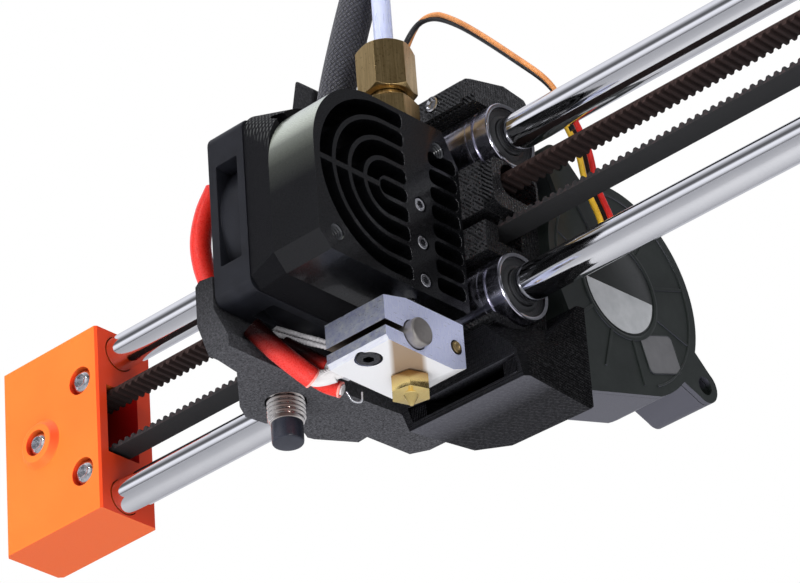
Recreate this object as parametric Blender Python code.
"""3D-printer hotend assembly on its X-axis carriage.

Frame: origin at the nozzle tip, +X along the guide rods (away from the idler),
+Y from the hotend towards the part-cooling blower, +Z up. The front is -Y.
All sizes below are millimetres; meshes are scaled to metres as they are made.
"""
import math

import bmesh
import bpy
from mathutils import Vector

MM = 0.001
GAP = 0.3                # clearance kept between neighbouring pieces
SHARP_ANGLE = 35         # degrees; steeper edges are shaded sharp
M3_R = 1.5
M3_HOLE_R = M3_R + GAP

# ---- driving dimensions; _R radius, _X0/_X1 and so on are the ends of an extent ----
ROD_R = 4.0
ROD_Y = 20.6             # both rods lie in one vertical plane
ROD_ZU, ROD_ZL = 64.2, 28.6
ROD_X0, ROD_X1 = -127.0, 102.0
BEARING_R, BEARING_L = 7.5, 24.0

IDLER_X0, IDLER_X1 = -132.9, -102.3
IDLER_Y0, IDLER_Y1 = 13.6, 30.0
IDLER_Z0, IDLER_Z1 = 24.0, 69.1
PULLEY_X, PULLEY_Z = -120.7, 46.82
PULLEY_Y0, PULLEY_Y1 = ROD_Y - 4.1, ROD_Y + 4.6
PULLEY_TEETH = 22
BELT_PITCH = 2.0
BELT_W, BELT_T = 6.0, 1.38
BELT_ZU = 54.2           # back of the upper run
BELT_ZL = 39.44          # back of the lower run, idler side
BELT_ZR = 42.5           # back of the lower run, drive side (clamped higher)
PITCH_R = PULLEY_TEETH * BELT_PITCH / 2 / math.pi

CAR_X0, CAR_X1 = -38.0, 11.6       # carriage body
CAR_Y0, CAR_Y1 = 13.4, 29.8

SINK_X = 6.2             # half thickness of the heatsink
SINK_Y0, SINK_Y1 = -30.2, 12.7
SINK_Z0, SINK_Z1 = 22.6, 64.3

FAN_X0, FAN_X1 = -24.1, -14.1      # 40 x 40 x 10 fan
FAN_Y, FAN_Z, FAN_HALF = -9.0, 42.2, 20.0
FAN_Y0, FAN_Y1 = FAN_Y - FAN_HALF, FAN_Y + FAN_HALF
FAN_Z0, FAN_Z1 = FAN_Z - FAN_HALF, FAN_Z + FAN_HALF
FAN_DUCT_R = 18.6        # round passage in the adapter and the probe holder
HOLE_YS, HOLE_ZS = (-25.0, 7.0), (27.2, 59.2)
FAN_HOLES = [(y, z) for y in HOLE_YS for z in HOLE_ZS]
FAN_SCREWS = list(zip(HOLE_YS, HOLE_ZS))    # one diagonal: lower front, upper rear

BLOCK_X = 8.0            # half length of the heater block
BLOCK_Y0, BLOCK_Y1 = -15.0, 8.0
BLOCK_Z0, BLOCK_Z1 = 6.1, 17.6

BLOWER_X0, BLOWER_X1 = -0.7, 14.3  # 5015 radial blower
BLOWER_Y, BLOWER_Z = 51.4, 41.7

PROBE_X, PROBE_Y = -29.8, -4.2     # M8 inductive probe
HOLDER_X0 = -29.2        # outer face of the probe holder wall


# ---- outlines: lists of (u, v) ----------------------------------------------------
def circle(u, v, radius, segments, turn=0.0):
    angles = [turn + 2 * math.pi * i / segments for i in range(segments)]
    return [(u + radius * math.cos(a), v + radius * math.sin(a)) for a in angles]


def arc(u, v, radius, start, end, steps):
    """Points from angle start to angle end, in degrees, both included."""
    angles = [math.radians(start + (end - start) * i / steps) for i in range(steps + 1)]
    return [(u + radius * math.cos(a), v + radius * math.sin(a)) for a in angles]


def box(u0, u1, v0, v1):
    return [(u0, v0), (u1, v0), (u1, v1), (u0, v1)]


def rounded_box(u0, u1, v0, v1, radius, steps):
    return (arc(u1 - radius, v0 + radius, radius, -90, 0, steps)
            + arc(u1 - radius, v1 - radius, radius, 0, 90, steps)
            + arc(u0 + radius, v1 - radius, radius, 90, 180, steps)
            + arc(u0 + radius, v0 + radius, radius, 180, 270, steps))


def hexagon(u, v, across_flats, turn=0.0):
    corner_r = across_flats / 2 / math.cos(math.pi / 6)
    return circle(u, v, corner_r, 6, math.radians(turn))


def turned(outline, u0, v0, degrees):
    """Outline about the origin, turned and moved to (u0, v0)."""
    ca, sa = math.cos(math.radians(degrees)), math.sin(math.radians(degrees))
    return [(u0 + u * ca - v * sa, v0 + u * sa + v * ca) for u, v in outline]


# ---- solids: bmeshes in millimetres -------------------------------------------------
def place(axis, u, v, t):
    """Point at t along the axis; u and v are the other two coordinates in xyz order."""
    return {"x": (t, u, v), "y": (u, t, v), "z": (u, v, t)}[axis]


def skin(rings):
    """Solid through equal rings of points, capped at both ends."""
    bm = bmesh.new()
    rings = [[bm.verts.new(p) for p in ring] for ring in rings]
    bm.faces.new(rings[0][::-1])
    bm.faces.new(rings[-1])
    for low, high in zip(rings, rings[1:]):
        for i in range(len(low)):
            j = (i + 1) % len(low)
            bm.faces.new((low[i], low[j], high[j], high[i]))
    return bm


def prism(outline, axis, start, end):
    return skin([[place(axis, u, v, t) for u, v in outline] for t in (start, end)])


def cylinder(axis, u, v, radius, start, end, segments):
    return prism(circle(u, v, radius, segments), axis, start, end)


def lathe(profile, axis, u, v, segments):
    """Closed profile of (radius, position on the axis) turned about the axis."""
    bm = bmesh.new()
    rings = []
    for radius, t in profile:
        ring = [(u, v)] if radius == 0 else circle(u, v, radius, segments)
        rings.append([bm.verts.new(place(axis, pu, pv, t)) for pu, pv in ring])
    for low, high in zip(rings, rings[1:] + rings[:1]):
        if len(low) == 1 and len(high) == 1:
            continue
        for i in range(segments):
            j = (i + 1) % segments
            if len(low) == 1:
                bm.faces.new((low[0], high[j], high[i]))
            elif len(high) == 1:
                bm.faces.new((low[i], low[j], high[0]))
            else:
                bm.faces.new((low[i], low[j], high[j], high[i]))
    return bm


def hull(points):
    bm = bmesh.new()
    result = bmesh.ops.convex_hull(bm, input=[bm.verts.new(p) for p in points])
    spare = {g for g in result["geom_interior"] + result["geom_unused"]
             if isinstance(g, bmesh.types.BMVert)}
    if spare:
        bmesh.ops.delete(bm, geom=list(spare), context="VERTS")
    bmesh.ops.dissolve_limit(bm, angle_limit=0.001, verts=bm.verts, edges=bm.edges)
    return bm


def hull_across(x_ends, outline):
    """Hull of a (y, z) outline repeated at each x."""
    return hull([(x, y, z) for x in x_ends for y, z in outline])


def smooth_path(points, steps=3):
    """Catmull-Rom curve through the points."""
    knots = [Vector(p) for p in points]
    knots = [knots[0] * 2 - knots[1]] + knots + [knots[-1] * 2 - knots[-2]]
    path = []
    for before, a, b, after in zip(knots, knots[1:], knots[2:], knots[3:]):
        for step in range(steps):
            t = step / steps
            path.append(0.5 * ((2 * a) + (b - before) * t
                               + (2 * before - 5 * a + 4 * b - after) * t * t
                               + (3 * a - before - 3 * b + after) * t ** 3))
    path.append(knots[-2])
    return path


def sweep(path, radius, sides):
    """Round bar along a path, closed at both ends."""
    rings = []
    up = None
    for i, p in enumerate(path):
        ahead = path[min(i + 1, len(path) - 1)]
        along = (ahead - path[max(i - 1, 0)]).normalized()
        if up is None:
            up = Vector((0, 0, 1)) if abs(along.z) < 0.8 else Vector((1, 0, 0))
        side = along.cross(up).normalized()
        up = side.cross(along).normalized()
        angles = [2 * math.pi * k / sides for k in range(sides)]
        rings.append([p + (side * math.cos(a) + up * math.sin(a)) * radius for a in angles])
    return skin(rings)


def cap_screw(axis, u, v, face, depth, head_h, shank_d=2 * M3_R, head_d=5.5):
    """Head stands on `face` and points down the axis; the shank goes up it."""
    shank_r, head_r = shank_d / 2, head_d / 2
    socket_r = 2.5 / 2 / math.cos(math.pi / 6)      # round, over a 2.5 mm key's corners
    chamfer = 0.3
    top = face - head_h
    socket_end = face - head_h * 0.45
    return lathe([
        (0, face + depth), (shank_r - chamfer, face + depth), (shank_r, face + depth - chamfer),
        (shank_r, face), (head_r, face), (head_r, top + chamfer), (head_r - chamfer, top),
        (socket_r, top), (socket_r, socket_end), (0, socket_end)], axis, u, v, 14)


# ---- objects --------------------------------------------------------------------------
def clear_scene():
    for ob in list(bpy.data.objects):
        bpy.data.objects.remove(ob, do_unlink=True)
    for mesh in list(bpy.data.meshes):
        bpy.data.meshes.remove(mesh)


def shade(mesh):
    mesh.shade_smooth()
    mesh.set_sharp_from_angle(angle=math.radians(SHARP_ANGLE))


def to_object(name, bm, mat, smooth=True, origin=(0, 0, 0)):
    """Object from a solid; origin (mm) becomes the object's own origin."""
    bmesh.ops.recalc_face_normals(bm, faces=bm.faces)
    origin = Vector(origin)
    for vert in bm.verts:
        vert.co = (vert.co - origin) * MM
    mesh = bpy.data.meshes.new(name)
    bm.to_mesh(mesh)
    bm.free()
    if smooth:
        shade(mesh)
    mesh.materials.append(mat)
    ob = bpy.data.objects.new(name, mesh)
    bpy.context.scene.collection.objects.link(ob)
    ob.location = origin * MM
    return ob


def apply_boolean(ob, tool, operation):
    """Replace the object's mesh by the boolean result and remove the tool."""
    mat = ob.data.materials[0]
    modifier = ob.modifiers.new("boolean", "BOOLEAN")
    modifier.operation = operation
    modifier.solver = "EXACT"
    modifier.object = tool
    bpy.context.view_layer.update()
    depsgraph = bpy.context.evaluated_depsgraph_get()
    mesh = bpy.data.meshes.new_from_object(ob.evaluated_get(depsgraph))
    ob.modifiers.clear()
    spent = (ob.data, tool.data)
    ob.data = mesh
    bpy.data.objects.remove(tool, do_unlink=True)
    for old in spent:
        bpy.data.meshes.remove(old)
    mesh.name = ob.name
    mesh.materials.clear()
    mesh.materials.append(mat)


def combine(ob, solids, operation):
    """Boolean with each solid in turn, then drop degenerate edges and shade again."""
    for solid in solids:
        tool = to_object("tool", solid, ob.data.materials[0], smooth=False)
        apply_boolean(ob, tool, operation)
    bm = bmesh.new()
    bm.from_mesh(ob.data)
    bmesh.ops.dissolve_degenerate(bm, dist=1e-7, edges=bm.edges)
    bm.to_mesh(ob.data)
    bm.free()
    shade(ob.data)


def make(name, bm, mat, adds=(), cuts=(), origin=(0, 0, 0)):
    ob = to_object(name, bm, mat, origin=origin)
    if adds:
        combine(ob, adds, "UNION")
    if cuts:
        combine(ob, cuts, "DIFFERENCE")
    return ob


# ---- materials ------------------------------------------------------------------------
def material(name, rgb, roughness, metallic=0.0):
    mat = bpy.data.materials.get(name) or bpy.data.materials.new(name)
    mat.use_nodes = True
    shader = next(n for n in mat.node_tree.nodes if n.type == "BSDF_PRINCIPLED")
    shader.inputs["Base Color"].default_value = (*rgb, 1.0)
    shader.inputs["Roughness"].default_value = roughness
    shader.inputs["Metallic"].default_value = metallic
    mat.diffuse_color = (*rgb, 1.0)
    return mat


def metal(name, rgb, roughness):
    return material(name, rgb, roughness, metallic=1.0)


ORANGE = material("orange_print", rgb=(0.86, 0.20, 0.03), roughness=0.45)
PRINT = material("black_print", rgb=(0.018, 0.018, 0.019), roughness=0.5)
GREY_PRINT = material("grey_black_print", rgb=(0.035, 0.036, 0.038), roughness=0.6)
ANODISED = material("black_anodised", rgb=(0.02, 0.021, 0.023), roughness=0.28, metallic=0.6)
CHROME = metal("chromed_rod", rgb=(0.75, 0.76, 0.78), roughness=0.08)
STEEL = metal("screw_steel", rgb=(0.62, 0.62, 0.64), roughness=0.25)
BEARING_STEEL = metal("bearing_steel", rgb=(0.42, 0.41, 0.44), roughness=0.2)
ALUMINIUM = metal("bead_alu", rgb=(0.78, 0.79, 0.82), roughness=0.38)
BRASS = metal("brass", rgb=(0.72, 0.52, 0.20), roughness=0.22)
RUBBER = material("belt_rubber", rgb=(0.03, 0.024, 0.022), roughness=0.7)
FAN_PLASTIC = material("fan_plastic", rgb=(0.045, 0.047, 0.055), roughness=0.45)
BLOWER_PLASTIC = material("blower_plastic", rgb=(0.028, 0.033, 0.031), roughness=0.5)
PROBE_PLASTIC = material("probe_plastic", rgb=(0.02, 0.021, 0.026), roughness=0.35)
NICKEL = metal("nickel_barrel", rgb=(0.70, 0.67, 0.62), roughness=0.22)
PTFE = material("ptfe", rgb=(0.80, 0.85, 0.90), roughness=0.35)
RED_SILICONE = material("red_silicone", rgb=(0.72, 0.03, 0.02), roughness=0.4)
BRAID = material("braided_sleeve", rgb=(0.03, 0.03, 0.038), roughness=0.85)
GLASS_FIBRE = material("glass_fibre", rgb=(0.62, 0.60, 0.60), roughness=0.8)
YELLOW_WIRE = material("wire_yellow", rgb=(0.80, 0.52, 0.03), roughness=0.4)
RED_WIRE = material("wire_red", rgb=(0.65, 0.02, 0.02), roughness=0.4)
BLACK_WIRE = material("wire_black", rgb=(0.015, 0.015, 0.015), roughness=0.4)
DARK_STEEL = metal("dark_steel", rgb=(0.09, 0.09, 0.10), roughness=0.35)


# =====================================================================================
#  X axis: idler end, rods, belt
# =====================================================================================
IDLER_SCREW_X = -107.8
IDLER_SCREWS = (("upper", 57.4), ("lower", 34.9))      # name, z
IDLER_CHAMFER, IDLER_EDGE = 1.0, 0.4    # vertical edges at the -X and the +X end
POCKET_X, POCKET_Z = 9.6, 8.3           # reach of the pulley pocket from the axle
AXLE_HEAD_R, CLAMP_HEAD_R = 3.05, 3.3   # counterbores for the screw heads
DRUM_R = PITCH_R - 0.354
BELT_BACK_R = PITCH_R + 0.376
BELT_INNER_R = BELT_BACK_R - BELT_T + 0.35
BELT_END_X = -8.0                       # end of the idler-side lower run
DRIVE_BELT_X0 = 4.0                     # start of the drive-side lower run


def stepped_bore(x, z, head_r, start, step, end):
    """Blind bore along Y with a wider mouth at the front for a screw head."""
    return lathe([(0, start), (head_r, start), (head_r, step), (M3_HOLE_R, step),
                  (M3_HOLE_R, end), (0, end)], "y", x, z, 18)


def build_idler():
    c, e = IDLER_CHAMFER, IDLER_EDGE
    x0, x1, y0, y1 = IDLER_X0, IDLER_X1, IDLER_Y0, IDLER_Y1
    outline = [(x0 + c, y0), (x1 - e, y0), (x1, y0 + e), (x1, y1 - e),
               (x1 - e, y1), (x0 + c, y1), (x0, y1 - c), (x0, y0 + c)]
    boss = lathe([(0, y0 + 0.5), (5.6, y0 + 0.5), (5.6, y0 - 0.05), (4.4, y0 - 1.6),
                  (0, y0 - 1.6)], "y", PULLEY_X, PULLEY_Z, 24)
    # blind bores for both rods
    cuts = [cylinder("x", ROD_Y, z, ROD_R + 0.15, ROD_X0 - GAP, x1 + 2, 27)
            for z in (ROD_ZU, ROD_ZL)]
    # pulley pocket, open to +X for the belt
    pocket = rounded_box(PULLEY_X - POCKET_X, x1 + 2, PULLEY_Z - POCKET_Z,
                         PULLEY_Z + POCKET_Z, 1.5, 3)
    cuts.append(prism(pocket, "y", PULLEY_Y0 - GAP, PULLEY_Y1 + GAP))
    # axle hole through the front boss, then the clamp screw holes
    cuts.append(stepped_bore(PULLEY_X, PULLEY_Z, AXLE_HEAD_R, y0 - 5, y0 + 0.9, y1 - 1.6))
    cuts += [stepped_bore(IDLER_SCREW_X, z, CLAMP_HEAD_R, y0 - 1, y0 + 2.1, y1 - 2.0)
             for _, z in IDLER_SCREWS]
    make("x_end_idler", prism(outline, "z", IDLER_Z0, IDLER_Z1), ORANGE, adds=[boss], cuts=cuts)

    for name, z in IDLER_SCREWS:
        screw = cap_screw("y", IDLER_SCREW_X, z, y0 + 2.0, depth=11.5, head_h=1.6)
        make("idler_clamp_screw_" + name, screw, STEEL)
    axle = cap_screw("y", PULLEY_X, PULLEY_Z, y0 + 0.6, depth=13.8, head_h=1.9)
    make("idler_axle_screw", axle, STEEL)


def build_pulley():
    """Two flanges and a smooth drum, turning on the axle."""
    bore_r, flange_r, waist_r = M3_HOLE_R, DRUM_R + 1.3, DRUM_R - 0.75
    y0, y1, flange_t = PULLEY_Y0, PULLEY_Y1, 0.9
    profile = [(bore_r, y0), (flange_r, y0), (flange_r, y0 + flange_t), (waist_r, y0 + flange_t),
               (waist_r, y1 - flange_t), (flange_r, y1 - flange_t), (flange_r, y1), (bore_r, y1)]
    make("idler_pulley", lathe(profile, "y", PULLEY_X, PULLEY_Z, 28), STEEL,
         origin=(PULLEY_X, ROD_Y, PULLEY_Z))


def build_rods():
    c = 0.5     # end chamfer
    profile = [(0, ROD_X0), (ROD_R - c, ROD_X0), (ROD_R, ROD_X0 + c),
               (ROD_R, ROD_X1 - c), (ROD_R - c, ROD_X1), (0, ROD_X1)]
    for name, z in (("upper_guide_rod", ROD_ZU), ("lower_guide_rod", ROD_ZL)):
        make(name, lathe(profile, "x", ROD_Y, z, 28), CHROME)


def build_belt():
    y0, y1 = ROD_Y - BELT_W / 2, ROD_Y + BELT_W / 2
    # upper run, wrap around the pulley and the idler-side lower run as one strip
    lower_z = PULLEY_Z - BELT_BACK_R
    strip = ([(ROD_X1, BELT_ZU)]
             + arc(PULLEY_X, PULLEY_Z, BELT_BACK_R, 90, 270, 14)
             + [(BELT_END_X, lower_z), (BELT_END_X, lower_z + BELT_T)]
             + arc(PULLEY_X, PULLEY_Z, BELT_INNER_R, 270, 90, 14)
             + [(ROD_X1, BELT_ZU - BELT_T)])
    make("timing_belt", prism(strip, "y", y0, y1), RUBBER)
    drive_run = box(DRIVE_BELT_X0, ROD_X1, BELT_ZR, BELT_ZR + BELT_T)
    make("timing_belt_drive_end", prism(drive_run, "y", y0, y1), RUBBER)


# =====================================================================================
#  Carriage
# =====================================================================================
CAR_OUTLINE = [     # (y, z)
    (CAR_Y0, 19.2), (28.2, 19.2), (CAR_Y1, 21.0), (CAR_Y1, 73.0),
    (29.0, 73.8), (CAR_Y0 + 0.6, 73.8), (CAR_Y0, 73.2)]
CAR_TOP_RIB = [(12.5, 71.9), (15.9, 71.9), (15.9, 77.4), (13.0, 77.4), (12.5, 76.9)]  # (y, z)
CRADLE_HALF_Z = 7.3
COVER_ROOF = [      # (y, z), over the upper bearings
    (16.4, 74.1), (16.4, 80.4), (18.0, 81.0), (28.5, 83.6), (35.0, 82.8), (38.4, 78.0)]
COVER_BACK = [(38.4, 35.0), (36.4, 33.0), (30.1, 33.0), (30.1, 74.1)]   # (y, z)
BEARINGS = [        # name, x of the -X end, z
    ("upper_bearing_right", 14.3 - BEARING_L, ROD_ZU),
    ("upper_bearing_left", -41.0, ROD_ZU),
    ("lower_bearing", 14.0 - BEARING_L, ROD_ZL)]


def build_carriage():
    cuts = []
    for z in (ROD_ZU, ROD_ZL):
        cuts.append(cylinder("x", ROD_Y, z, BEARING_R + GAP, CAR_X0 - 3, CAR_X1 + 5, 32))
        # the cradles are open to the front
        mouth = box(CAR_Y0 - 3, ROD_Y - 2.0, z - CRADLE_HALF_Z, z + CRADLE_HALF_Z)
        cuts.append(prism(mouth, "x", CAR_X0 - 3.3, CAR_X1 + 5.3))
    belt_openings = [
        rounded_box(16.2, 27.0, 48.9, 56.6, 2.4, 3),                    # upper run
        box(17.2, 24.2, BELT_ZL - 0.4, BELT_ZR + BELT_T + 0.5),         # lower runs
        box(CAR_Y0 - 2, 18.0, BELT_ZR + 0.35, BELT_ZR + 2.8)]           # slit from the front
    cuts += [prism(opening, "x", CAR_X0 - 4, CAR_X1 + 6) for opening in belt_openings]
    # raised boss around the belt on the +X end
    boss = rounded_box(CAR_Y0 + 0.01, 27.6, 45.5, 56.6, 1.6, 4)
    adds = [prism(boss, "x", CAR_X1 - 1, CAR_X1 + 2.8), prism(CAR_TOP_RIB, "x", -14.0, 8.6)]
    make("x_carriage", prism(CAR_OUTLINE, "x", CAR_X0, CAR_X1), PRINT, adds=adds, cuts=cuts)


def build_rear_cover():
    """Back plate with a roof; the roof alone reaches further towards +X."""
    make("carriage_rear_cover", prism(COVER_ROOF + COVER_BACK, "x", -36.0, -1.6), PRINT,
         adds=[prism(COVER_ROOF + [(38.4, 74.1)], "x", -8.0, 7.2)],
         cuts=[cylinder("y", -18.0, 40.0, 1.7, 29.0, 33.0, 16)])


def build_bearings():
    bore, r = ROD_R + GAP, BEARING_R
    rim, recess = r - 0.9, 0.4              # seal rim radius, depth of the end recess
    groove_r, near, far = r - 0.35, 3.2, 4.3    # ring groove and its edges from each end
    for name, x0, z in BEARINGS:
        x1 = x0 + BEARING_L
        profile = [
            (bore, x0 + recess), (rim, x0 + recess), (rim, x0), (r, x0),
            (r, x0 + near), (groove_r, x0 + near), (groove_r, x0 + far), (r, x0 + far),
            (r, x1 - far), (groove_r, x1 - far), (groove_r, x1 - near), (r, x1 - near),
            (r, x1), (rim, x1), (rim, x1 - recess), (bore, x1 - recess)]
        make(name, lathe(profile, "x", ROD_Y, z, 24), BEARING_STEEL)


# =====================================================================================
#  Heatsink
# =====================================================================================
SINK_CORNER_R = 18.0               # rounded upper front corner
SLOTS_Y, SLOTS_Z = -9.0, 43.6      # centre of the nested slots
SLOT_PITCH, SLOT_HALF = 4.45, 1.72
SLOT_BEVEL = 0.75                  # at the spine end of a slot
SPINE_Y = 3.6                      # half width of the solid spine around the bore
WEB_HALF = 0.62                    # half of the web between upper and lower slots
REAR_SLOT_Z0, REAR_SLOT_PITCH, REAR_SLOTS = 26.5, 4.24, 8
GRUB_Y = 0.2
GRUBS = (("upper", 43.5), ("middle", 34.6), ("lower", 25.8))      # name, z


def nested_slot(radius, side):
    """Quarter turn from the web, then straight to the spine; side is 1 above, -1 below."""
    outer_r, inner_r = radius + SLOT_HALF, radius - SLOT_HALF
    outer_start, inner_end = [180 - math.degrees(math.asin(WEB_HALF / r))
                              for r in (outer_r, inner_r)]
    steps = int(radius * 0.35) + 4
    end = -SPINE_Y - SLOTS_Y
    outline = (arc(0, 0, outer_r, outer_start, 90, steps)
               + [(end - SLOT_BEVEL, outer_r), (end, outer_r - SLOT_BEVEL),
                  (end, inner_r + SLOT_BEVEL), (end - SLOT_BEVEL, inner_r)]
               + arc(0, 0, inner_r, 90, inner_end, steps))
    return [(SLOTS_Y + u, SLOTS_Z + side * v) for u, v in outline]


def straight_slot(y0, y1, z):
    return rounded_box(y0, y1, z - SLOT_HALF, z + SLOT_HALF, 1.2, 2)


def build_heatsink():
    outline = ([(SINK_Y0 + 3.3, SINK_Z0), (SINK_Y1 - 0.6, SINK_Z0), (SINK_Y1, SINK_Z0 + 0.6),
                (SINK_Y1, SINK_Z1 - 7.5), (SINK_Y1 - 4.2, SINK_Z1)]
               + arc(SINK_Y0 + SINK_CORNER_R, SINK_Z1 - SINK_CORNER_R, SINK_CORNER_R, 90, 180, 10)
               + [(SINK_Y0, SINK_Z0 + 3.5)])
    slots = [nested_slot(SLOT_PITCH * i, side) for i in (1, 2, 3, 4) for side in (1, -1)]
    slots.append(straight_slot(SLOTS_Y - 2.4, -SPINE_Y, SLOTS_Z))
    slots += [straight_slot(SPINE_Y, 11.9, REAR_SLOT_Z0 + REAR_SLOT_PITCH * i)
              for i in range(REAR_SLOTS)]
    cuts = [prism(slot, "x", -SINK_X - 1, SINK_X + 1) for slot in slots]
    # vertical bore for the heatbreak below and the tube fitting above
    cuts.append(cylinder("z", 0, 0, 3.0 + GAP, SINK_Z0 - 1, 46.0, 18))
    cuts.append(cylinder("z", 0, 0, 2.5 + GAP, 45.0, SINK_Z1 + 1, 16))
    sink = make("heatsink", prism(outline, "x", -SINK_X, SINK_X), ANODISED, cuts=cuts)
    grub_holes = [cylinder("x", GRUB_Y, z, M3_HOLE_R, 0.0, SINK_X + 1, 12) for _, z in GRUBS]
    combine(sink, grub_holes, "DIFFERENCE")
    combine(sink, [cylinder("x", y, z, M3_HOLE_R, -SINK_X - 1, SINK_X + 1, 12)
                   for y, z in FAN_SCREWS], "DIFFERENCE")


def build_grub_screws():
    profile = [     # (radius, x)
        (0, 3.9), (1.2, 3.9), (M3_R, 4.2), (M3_R, SINK_X - 0.35), (1.3, SINK_X - 0.1),
        (0.85, SINK_X - 0.1), (0.85, SINK_X - 1.4), (0, SINK_X - 1.4)]
    for name, z in GRUBS:
        make("grub_screw_" + name, lathe(profile, "x", GRUB_Y, z, 12), STEEL)


def build_heatbreak():
    """Smooth shank in the heatsink, thin neck, wider end in the block."""
    profile = [     # (radius, z)
        (2.3, 45.6), (3.0, 45.6), (3.0, 24.2), (3.0, 20.6), (1.65, 20.6),
        (1.65, 18.4), (2.75, 18.4), (2.75, 12.4), (2.3, 12.4)]
    make("heatbreak", lathe(profile, "z", 0, 0, 18), STEEL)


# =====================================================================================
#  Heater block and nozzle
# =====================================================================================
HEATER_Y, HEATER_Z = -6.7, 9.9         # cartridge bores run along X
THERM_Y, THERM_Z, THERM_R = 5.5, 11.6, 1.25
THERM_GRUB_X, THERM_GRUB_R = -4.3, 1.0
CLAMP_Y = -11.7                        # vertical screw across the clamping slit
SLIT_HALF = 0.7
NOZZLE_PROFILE = [  # (radius, z): tip cone, flange, neck, shank up into the block
    (0, 0), (0.4, 0), (0.4, 0.02), (1.6, 2.2), (1.6, 2.25), (4.5, 2.25), (4.5, 5.7),
    (2.5, 5.7), (2.5, 6.3), (2.8, 6.6), (2.8, 12.1), (0, 12.1)]


def build_heater_block():
    y0, y1, z0, z1 = BLOCK_Y0, BLOCK_Y1, BLOCK_Z0, BLOCK_Z1
    outline = [(y0 + 0.8, z0), (y1 - 3.9, z0), (y1, z0 + 1.6), (y1, z1),
               (y0 + 6.5, z1), (y0, z1 - 1.6), (y0, z0 + 1.0)]
    xa, xb = -BLOCK_X - 1, BLOCK_X + 1
    # slit from the front face to the heater bore
    slit = box(y0 - 1, HEATER_Y, HEATER_Z - SLIT_HALF, HEATER_Z + SLIT_HALF)
    make("heater_block", prism(outline, "x", -BLOCK_X, BLOCK_X), ALUMINIUM, cuts=[
        cylinder("x", HEATER_Y, HEATER_Z, 3.25, xa, xb, 24),
        prism(slit, "x", -BLOCK_X - 1.5, BLOCK_X + 1.5),
        cylinder("z", 0, 0, 3.05, z0 - 1, z1 + 1, 20),
        cylinder("z", 0.0, CLAMP_Y, 2.85, z0 - 1, z0 + 1.9, 28),
        cylinder("z", 0.0, CLAMP_Y, 1.35, z0 + 1, z1 - 1.6, 16),
        cylinder("x", THERM_Y, THERM_Z, THERM_R + GAP, xa, xb, 20),
        cylinder("z", THERM_GRUB_X, THERM_Y, THERM_GRUB_R + GAP, z0 - 1, 10.4, 14)])


def build_block_fittings():
    heater = [(0, -7.4), (2.7, -7.4), (3.0, -7.1), (3.0, 9.9), (2.6, 10.3), (0, 10.3)]
    make("heater_cartridge", lathe(heater, "x", HEATER_Y, HEATER_Z, 24), STEEL)
    thermistor = [(0, -7.6), (THERM_R, -7.6), (THERM_R, 8.1), (1.0, 8.4), (0, 8.4)]
    make("thermistor_cartridge", lathe(thermistor, "x", THERM_Y, THERM_Z, 20), BRASS)
    clamp = cap_screw("z", 0.0, CLAMP_Y, BLOCK_Z0 + 1.6, depth=7.6, head_h=1.4,
                      shank_d=2.2, head_d=5.2)
    make("block_clamp_screw", clamp, DARK_STEEL)
    grub = [(0, BLOCK_Z0 + 0.2), (0.5, BLOCK_Z0 + 0.2), (0.5, BLOCK_Z0 + 0.1),
            (0.9, BLOCK_Z0 + 0.1), (THERM_GRUB_R, BLOCK_Z0 + 0.3), (THERM_GRUB_R, 9.8), (0, 9.8)]
    make("thermistor_grub_screw", lathe(grub, "z", THERM_GRUB_X, THERM_Y, 14), DARK_STEEL)


def build_nozzle():
    """Turned form whose flange is cut to a 7.3 mm hexagon by a ring around it."""
    nozzle = make("nozzle", lathe(NOZZLE_PROFILE, "z", 0, 0, 24), BRASS)
    ring = to_object("ring", cylinder("z", 0, 0, 6.5, 1.0, 5.95, 12), BRASS, smooth=False)
    combine(ring, [prism(hexagon(0, 0, 7.3, turn=12), "z", 0.5, 6.5)], "DIFFERENCE")
    apply_boolean(nozzle, ring, "DIFFERENCE")


# =====================================================================================
#  Tube fitting and tube
# =====================================================================================
TUBE_R, TUBE_BORE_R = 2.0, 1.0
TUBE_Z0, TUBE_Z1 = 47.2, 104.0
FIT_R = TUBE_R + 0.15          # bore of the fitting body and the ferrule
FIT_HEX = 10.8                 # across flats, body and nut
SPIGOT_R = 3.7                 # top of the body, inside the nut


def build_tube_fitting():
    body = prism(hexagon(0, 0, FIT_HEX, turn=41.7), "z", SINK_Z1 + 0.3, 69.7)
    make("tube_fitting_body", body, BRASS,
         adds=[cylinder("z", 0, 0, 2.5, 50.0, SINK_Z1 + 1.0, 16),
               cylinder("z", 0, 0, SPIGOT_R, 69.2, 75.4, 20)],
         cuts=[cylinder("z", 0, 0, FIT_R, 49.0, 82.0, 16)])
    nut = prism(hexagon(0, 0, FIT_HEX, turn=50.5), "z", 71.8, 83.1)
    make("tube_fitting_nut", nut, BRASS,
         cuts=[cylinder("z", 0, 0, SPIGOT_R + GAP, 70.6, 75.8, 20),
               cylinder("z", 0, 0, 3.2, 75.4, 80.0, 16),
               cylinder("z", 0, 0, TUBE_R + GAP, 79.4, 84.1, 16)])
    ferrule = [(FIT_R, 75.9), (2.9, 75.9), (2.9, 78.0), (2.4, 79.6), (FIT_R, 79.6)]
    make("tube_ferrule", lathe(ferrule, "z", 0, 0, 16), BRASS)
    make("ptfe_tube", lathe(box(TUBE_BORE_R, TUBE_R, TUBE_Z0, TUBE_Z1), "z", 0, 0, 20), PTFE)


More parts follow.
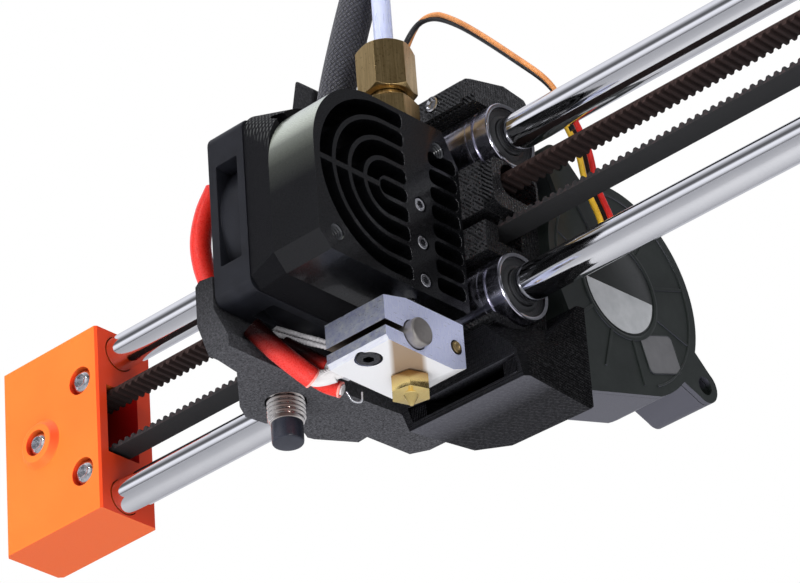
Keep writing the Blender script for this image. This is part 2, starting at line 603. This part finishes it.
# =====================================================================================
#  Hotend fan and its adapter
# =====================================================================================
HUB_R = 9.6
BARREL_R = 19.45                   # outside of the barrel between the flanges
SPOKE_TIP, SPOKE_HALF = 19.4, 1.2
ROTOR_X = -19.6
ROTOR_PROFILE = [(0, -23.4), (8.8, -23.4), (9.3, -22.9), (9.3, -16.1), (0, -16.1)]  # (r, x)
BLADE_COUNT = 7
BLADE_CHORD, BLADE_T = 3.9, 0.45   # half chord, half thickness
BLADE_SQUASH = 0.70                # shortens the chord's reach along X
BLADE_STATIONS = [                 # radius, sweep (radians), pitch (degrees)
    (8.6, 0.0, 52.0), (12.0, 0.09, 44.0), (15.2, 0.22, 37.0), (17.8, 0.38, 32.0)]
ADAPTER_X0, ADAPTER_X1 = FAN_X1 + GAP, -SINK_X - GAP


def build_fan_frame():
    frame = rounded_box(FAN_Y0, FAN_Y1, FAN_Z0, FAN_Z1, 2.2, 2)
    # side pocket: straight outer edge, inner edge follows the barrel
    barrel = arc(0, 0, BARREL_R, -36, 36, 6)
    half_width = barrel[-1][1]
    pocket = [(21.0, -half_width)] + barrel + [(21.0, half_width)]
    cuts = [cylinder("x", FAN_Y, FAN_Z, 18.7, FAN_X0 - 1, FAN_X1 + 1, 36)]
    cuts += [prism(turned(pocket, FAN_Y, FAN_Z, 90 * k), "x", FAN_X0 + 2.3, FAN_X1 - 2.1)
             for k in range(4)]
    cuts += [cylinder("x", y, z, M3_HOLE_R, FAN_X0 - 1, FAN_X1 + 1, 10) for y, z in FAN_HOLES]
    fan = make("hotend_fan_frame", prism(frame, "x", FAN_X0, FAN_X1), FAN_PLASTIC, cuts=cuts)
    # three spokes carry the hub on the heatsink side
    spoke = box(HUB_R - 1.5, SPOKE_TIP, -SPOKE_HALF, SPOKE_HALF)
    adds = [prism(turned(spoke, FAN_Y, FAN_Z, 30 + 120 * k), "x", FAN_X1 - 1.6, FAN_X1 - 0.2)
            for k in range(3)]
    adds.append(cylinder("x", FAN_Y, FAN_Z, HUB_R, FAN_X1 - 1.7, FAN_X1 - 0.1, 32))
    combine(fan, adds, "UNION")


def fan_blade(start):
    """Twisted, swept blade that leaves the hub at angle start."""
    rings = []
    for radius, sweep_angle, pitch in BLADE_STATIONS:
        cp, sp = math.cos(math.radians(pitch)), math.sin(math.radians(pitch))
        ring = []
        for chord, thick in box(-BLADE_CHORD, BLADE_CHORD, -BLADE_T, BLADE_T):
            x = ROTOR_X + (chord * cp * BLADE_SQUASH - thick * sp)
            angle = start + sweep_angle + (chord * sp + thick * cp) / radius
            ring.append((x, FAN_Y + radius * math.cos(angle), FAN_Z + radius * math.sin(angle)))
        rings.append(ring)
    bm = skin(rings)
    bmesh.ops.triangulate(bm, faces=bm.faces)
    return bm


def build_fan_rotor():
    make("hotend_fan_rotor", lathe(ROTOR_PROFILE, "x", FAN_Y, FAN_Z, 24), FAN_PLASTIC,
         adds=[fan_blade(2 * math.pi * k / BLADE_COUNT) for k in range(BLADE_COUNT)],
         origin=(ROTOR_X, FAN_Y, FAN_Z))


def build_fan_adapter():
    """Printed transition from the square fan to the rounded heatsink."""
    fan_r, sink_r = 7.0, 15.5      # upper front corner at each end
    fan_end = [(FAN_Y0 + 0.2, FAN_Z0 + 2.5), (FAN_Y0 + 2.5, FAN_Z0 + 0.2),
               (FAN_Y1, FAN_Z0 + 0.2), (FAN_Y1, FAN_Z1 + 1.0)]
    fan_end += arc(FAN_Y0 + 0.2 + fan_r, FAN_Z1 + 2.4 - fan_r, fan_r, 90, 180, 6)
    sink_end = [(SINK_Y0 + 0.4, SINK_Z0 + 4.0), (SINK_Y0 + 3.7, SINK_Z0 + 0.6),
                (SINK_Y1 - 0.6, SINK_Z0 + 0.6), (SINK_Y1 - 0.6, SINK_Z1 + 0.8)]
    sink_end += arc(SINK_Y0 + 0.4 + sink_r, SINK_Z1 + 0.8 - sink_r, sink_r, 90, 180, 8)
    points = [(ADAPTER_X0, y, z) for y, z in fan_end] + [(ADAPTER_X1, y, z) for y, z in sink_end]
    xa, xb = ADAPTER_X0 - 1, ADAPTER_X1 + 1
    make("fan_adapter", hull(points), GREY_PRINT,
         cuts=[cylinder("x", FAN_Y, FAN_Z, FAN_DUCT_R, xa, xb, 32)]
         + [cylinder("x", y, z, M3_HOLE_R, xa, xb, 10) for y, z in FAN_HOLES])


def build_fan_screws():
    # the front screw also holds the probe holder, so its head stands on that wall
    for name, hole, face, depth in (("front", FAN_SCREWS[0], HOLDER_X0 - 0.1, 30.0),
                                    ("rear", FAN_SCREWS[1], FAN_X0 - 0.1, 25.0)):
        make("fan_screw_" + name, cap_screw("x", *hole, face, depth, head_h=2.0), STEEL)


# =====================================================================================
#  Probe and its printed holder
# =====================================================================================
PLATE_Z = 12.0                     # underside of the holder plate
PROBE_R = 4.0
HOLDER_PLATE = [                   # (x, y)
    (-20.8, -28.8), (-26.0, -28.8), (-27.4, -20.4), (-37.0, -10.1), (-39.3, -6.2),
    (-38.6, -1.0), (-35.4, 2.8), (-30.0, 3.6), (-29.5, 17.2), (-28.9, 31.1), (-25.0, 33.0),
    (-16.0, 33.2), (-16.0, 17.6), (-18.3, 17.4), (-19.8, -0.1), (-20.8, -5.0)]
HOLDER_WING = [                    # (x, y), raised wing on the -X side
    (-27.0, 4.6), (-37.0, 5.4), (-41.0, 13.6), (-40.6, 15.2), (-35.7, 23.2), (-27.0, 22.4)]
HOLDER_WALL = [                    # (x, z), front wall against the fan
    (HOLDER_X0, 20.1), (-26.4, PLATE_Z + 0.02), (-20.8, PLATE_Z + 0.02), (-20.8, 14.5),
    (-24.4, 21.9), (-24.4, 29.4), (-28.0, 29.9), (HOLDER_X0, 29.0)]
HOLDER_WEB = box(-30.5, -21.0, PLATE_Z + 0.03, 18.9)     # (x, z), towards the rear
BARREL_PROFILE = [                 # (radius, z)
    (0, 7.0), (3.5, 7.0), (PROBE_R, 7.5), (PROBE_R, 35.5), (3.5, 36.0), (0, 36.0)]
TIP_PROFILE = [(0, 2.5), (2.9, 2.5), (3.25, 2.85), (3.25, 6.7), (0, 6.7)]    # (radius, z)


def build_probe_holder():
    make("probe_holder", prism(HOLDER_PLATE, "z", PLATE_Z, PLATE_Z + 3.2), GREY_PRINT,
         adds=[prism(HOLDER_WALL, "y", -29.1, -13.0),
               prism(HOLDER_WEB, "y", 13.7, 19.0),
               prism(HOLDER_WING, "z", PLATE_Z + 2.9, PLATE_Z + 5.2)],
         cuts=[cylinder("z", PROBE_X, PROBE_Y, PROBE_R + GAP, PLATE_Z - 1, 40.0, 20),
               cylinder("z", PROBE_X, PROBE_Y, 8.2, PLATE_Z + 3.1, 40.0, 20),
               cylinder("x", FAN_Y, FAN_Z, FAN_DUCT_R, -32.0, -20.0, 32),
               cylinder("x", *FAN_SCREWS[0], M3_HOLE_R, -32.0, -20.0, 12)])


def build_probe():
    make("probe_barrel", lathe(BARREL_PROFILE, "z", PROBE_X, PROBE_Y, 28), NICKEL)
    make("probe_tip", lathe(TIP_PROFILE, "z", PROBE_X, PROBE_Y, 24), PROBE_PLASTIC)
    nut = prism(hexagon(PROBE_X, PROBE_Y, 13.0), "z", PLATE_Z + 3.5, PLATE_Z + 7.5)
    make("probe_nut", nut, NICKEL,
         cuts=[cylinder("z", PROBE_X, PROBE_Y, PROBE_R + GAP, PLATE_Z + 3, PLATE_Z + 8, 24)])


# =====================================================================================
#  Part-cooling blower and duct
# =====================================================================================
OUTLET_Y = 31.6                # plane of the outlet, inside the duct collar
OUTLET_Z0, OUTLET_Z1 = 8.6, 25.0
NOTCH_Y = 34.8                 # the housing steps back here to clear the collar
LOW_Z = 10.2                   # lower wall where it meets the collar
SCROLL_START, SCROLL_END, SCROLL_STEPS = 200.0, -66.0, 26     # degrees
SCROLL_R, SCROLL_GROWTH = 20.9, 4.9
EARS = [(77.2, 26.2), (35.0, 64.2)]    # (y, z) of the screw holes
EAR_R, EAR_HOLE_R = 3.9, 2.1
EAR_REACH, EAR_ROOT_HALF = 8.2, 5.6    # root: distance from the hole, half width
SPLIT_X = BLOWER_X1 - 1.6      # housing below, cover above in X
IMPELLER_PROFILE = [           # (radius, x)
    (0, SPLIT_X - 0.5), (18.2, SPLIT_X - 0.5), (18.2, BLOWER_X0 + 1.9),
    (15.6, BLOWER_X0 + 1.9), (15.6, SPLIT_X - 2.0), (8.5, SPLIT_X - 2.0),
    (8.5, BLOWER_X0 + 3.0), (0, BLOWER_X0 + 3.0)]
DUCT_POINTS = [                # (x, y, z), hulled; collar end at y 34, slot end at y 12
    (-2.9, 34.0, 4.4), (18.2, 34.0, 4.0), (18.2, 34.0, 18.6), (-2.9, 34.0, 18.6),
    (-2.3, 32.2, 3.2), (10.7, 32.7, 3.2), (18.2, 33.1, 3.2),
    (-11.6, 12.0, 3.2), (18.6, 12.6, 3.2), (19.4, 13.6, 3.2), (19.4, 13.6, 8.0),
    (17.8, 12.0, 9.6), (-13.8, 12.0, 9.2), (-8.6, 27.9, 3.2), (-12.4, 20.3, 9.6),
    (9.8, 12.6, 18.7), (-5.0, 12.6, 18.7), (9.8, 28.6, 18.7), (-5.0, 28.6, 18.7),
    (18.2, 30.2, 18.7)]
COLLAR = [(30.2, 14.0), (34.0, 10.0), (34.0, 26.8), (30.2, 23.6), (31.6, 26.4)]     # (y, z)
DUCT_CHEEK = [                 # (y, z), wall on the +X side
    (16.0, 4.0), (20.2, 12.9), (23.3, 17.5), (32.6, 26.6), (33.9, 26.6), (33.9, 4.1)]


def scroll(offset):
    """Outline from the tongue over the top to the lower wall, grown by offset."""
    points = []
    for i in range(SCROLL_STEPS + 1):
        t = i / SCROLL_STEPS
        angle = math.radians(SCROLL_START + (SCROLL_END - SCROLL_START) * t)
        radius = SCROLL_R + SCROLL_GROWTH * t + offset
        points.append((BLOWER_Y + radius * math.cos(angle), BLOWER_Z + radius * math.sin(angle)))
    return points


def ears(x0, x1):
    """Screw lugs: a half circle round each hole, widening towards the blower centre."""
    solids = []
    for y, z in EARS:
        inward = Vector((BLOWER_Y - y, BLOWER_Z - z)).normalized()
        across = Vector((-inward.y, inward.x))
        away = math.degrees(math.atan2(-inward.y, -inward.x))
        outline = arc(y, z, EAR_R, away - 90, away + 90, 6)
        for side in (-1, 1):
            root = Vector((y, z)) + inward * EAR_REACH + across * side * EAR_ROOT_HALF
            outline.append((root.x, root.y))
        solids.append(prism(outline, "x", x0, x1))
    return solids


def ear_holes(x0, x1):
    return [cylinder("x", y, z, EAR_HOLE_R, x0, x1, 12) for y, z in EARS]


def build_blower():
    outside = scroll(0.0) + [
        (NOTCH_Y, LOW_Z), (NOTCH_Y, OUTLET_Z0), (OUTLET_Y, OUTLET_Z0),
        (OUTLET_Y, OUTLET_Z1), (NOTCH_Y, OUTLET_Z1), (NOTCH_Y, 27.9)]
    inside = scroll(-1.3)[1:] + [
        (NOTCH_Y, LOW_Z + 0.6), (OUTLET_Y - 2, OUTLET_Z0 + 1.1), (OUTLET_Y - 2, OUTLET_Z1 - 1.2),
        (NOTCH_Y + 0.8, OUTLET_Z1 - 1.2), (NOTCH_Y + 1.0, 27.0)]
    inlet = cylinder("x", BLOWER_Y, BLOWER_Z, 15.0, BLOWER_X0 - 1, BLOWER_X0 + 2, 28)
    make("blower_housing", prism(outside, "x", BLOWER_X0, SPLIT_X), BLOWER_PLASTIC,
         adds=ears(BLOWER_X0 + 0.05, SPLIT_X - 0.05),
         cuts=[prism(inside, "x", BLOWER_X0 + 1.3, SPLIT_X + 1), inlet]
         + ear_holes(BLOWER_X0 - 1, SPLIT_X + 1))
    make("blower_cover", prism(outside, "x", SPLIT_X + 0.1, BLOWER_X1), BLOWER_PLASTIC,
         adds=ears(SPLIT_X + 0.12, BLOWER_X1 - 0.05),
         cuts=ear_holes(SPLIT_X - 1, BLOWER_X1 + 1))
    impeller = lathe(IMPELLER_PROFILE, "x", BLOWER_Y, BLOWER_Z, 28)
    make("blower_impeller", impeller, BLOWER_PLASTIC, origin=(6.0, BLOWER_Y, BLOWER_Z))


def build_duct():
    """Collar at the rear, wide slot in front pointing at the nozzle."""
    x0, x1 = BLOWER_X0 - GAP, BLOWER_X1 + GAP
    socket = hull_across((x0, x1), box(31.3, 35.2, OUTLET_Z0 - GAP, OUTLET_Z1 + GAP))
    xa, xb = x0 + 0.6, x1 - 0.6
    # air channel: from the socket, over a sloping roof, to the wider slot
    channel = hull([
        (xa, 31.6, OUTLET_Z0 + 0.4), (xb, 31.6, OUTLET_Z0 + 0.4),
        (xb, 31.6, 17.4), (xa, 31.6, 17.4), (xa, 25.0, 14.4), (xb, 25.0, 14.4),
        (-11.0, 11.0, 4.6), (17.4, 11.0, 4.6), (17.4, 11.0, 8.2), (-12.2, 11.0, 8.2)])
    make("fan_duct", hull(DUCT_POINTS), PRINT,
         adds=[hull_across((-2.9, 18.2), COLLAR), prism(DUCT_CHEEK, "x", 14.4, 18.15)],
         cuts=[socket, channel])


# =====================================================================================
#  Cables and sleeves
# =====================================================================================
CABLE_POST = [                 # (x, z)
    (-29.0, 66.6), (-23.9, 66.6), (-23.5, 76.0), (-22.9, 82.0), (-22.2, 86.0),
    (-27.6, 91.0), (-29.6, 82.0)]
CABLES = [                     # name, radius, sides, material, (x, y, z) points
    ("textile_sleeve", 3.9, 12, BRAID,
     [(-19.2, 3.0, 70.0), (-18.3, 3.0, 76.0), (-16.4, 3.0, 83.5), (-12.8, 3.0, 93.0),
      (-8.7, 3.0, 102.5)]),
    ("silicone_sleeve_front", 2.15, 10, RED_SILICONE,
     [(-19.1, -24.4, 17.3), (-17.9, -21.9, 14.8), (-17.3, -18.9, 12.8), (-16.9, -13.2, 10.7),
      (-16.2, -10.5, 9.3)]),
    ("silicone_sleeve_short", 1.6, 10, RED_SILICONE,
     [(-17.6, -8.0, 10.5), (-15.9, -6.5, 8.9), (-13.9, -5.0, 7.7)]),
    ("silicone_sleeve_side", 2.2, 10, RED_SILICONE,
     [(-31.6, -21.5, 31.6), (-32.9, -22.6, 38.0), (-33.0, -23.0, 44.0), (-31.6, -22.6, 50.0),
      (-29.4, -21.6, 55.0)]),
    ("heater_wires", 1.2, 8, GLASS_FIBRE,
     [(-12.7, -9.0, 9.6), (-10.6, -7.8, 9.6), (-8.7, -6.9, 9.8)]),
    # arches over the carriage
    ("sensor_cable", 1.0, 6, BLACK_WIRE,
     [(-14.0, 16.0, 86.5), (-11.6, 19.6, 99.0), (-6.0, 20.4, 103.6), (2.4, 21.0, 98.0),
      (16.0, 22.6, 82.8), (23.2, 25.0, 73.0), (24.0, 29.0, 64.5)])]
LEAD_R, LEAD_SIDES = 0.62, 6
LEAD_POINTS = [                # (x, y, z)
    (17.0, 35.0, 73.0), (18.0, 37.4, 66.0), (17.4, 40.0, 58.0), (18.6, 42.0, 50.0),
    (16.8, 45.0, 44.6)]
LEADS = [                      # name, x and y shift, material
    ("blower_lead_yellow", 0, 0, YELLOW_WIRE),
    ("blower_lead_red", 1.7, 1.5, RED_WIRE),
    ("blower_lead_black", -0.2, 2.6, BLACK_WIRE)]


def build_cables():
    make("cable_post", prism(CABLE_POST, "y", 2.0, 7.2), GREY_PRINT)
    for name, radius, sides, mat, points in CABLES:
        make(name, sweep(smooth_path(points), radius, sides), mat)
    for name, dx, dy, mat in LEADS:
        path = smooth_path([(x + dx, y + dy, z) for x, y, z in LEAD_POINTS])
        make(name, sweep(path, LEAD_R, LEAD_SIDES), mat)


clear_scene()
for build in (build_idler, build_pulley, build_rods, build_belt,
              build_carriage, build_rear_cover, build_bearings,
              build_heatsink, build_grub_screws, build_heatbreak,
              build_heater_block, build_block_fittings, build_nozzle, build_tube_fitting,
              build_fan_frame, build_fan_rotor, build_fan_adapter, build_fan_screws,
              build_probe_holder, build_probe, build_blower, build_duct, build_cables):
    build()
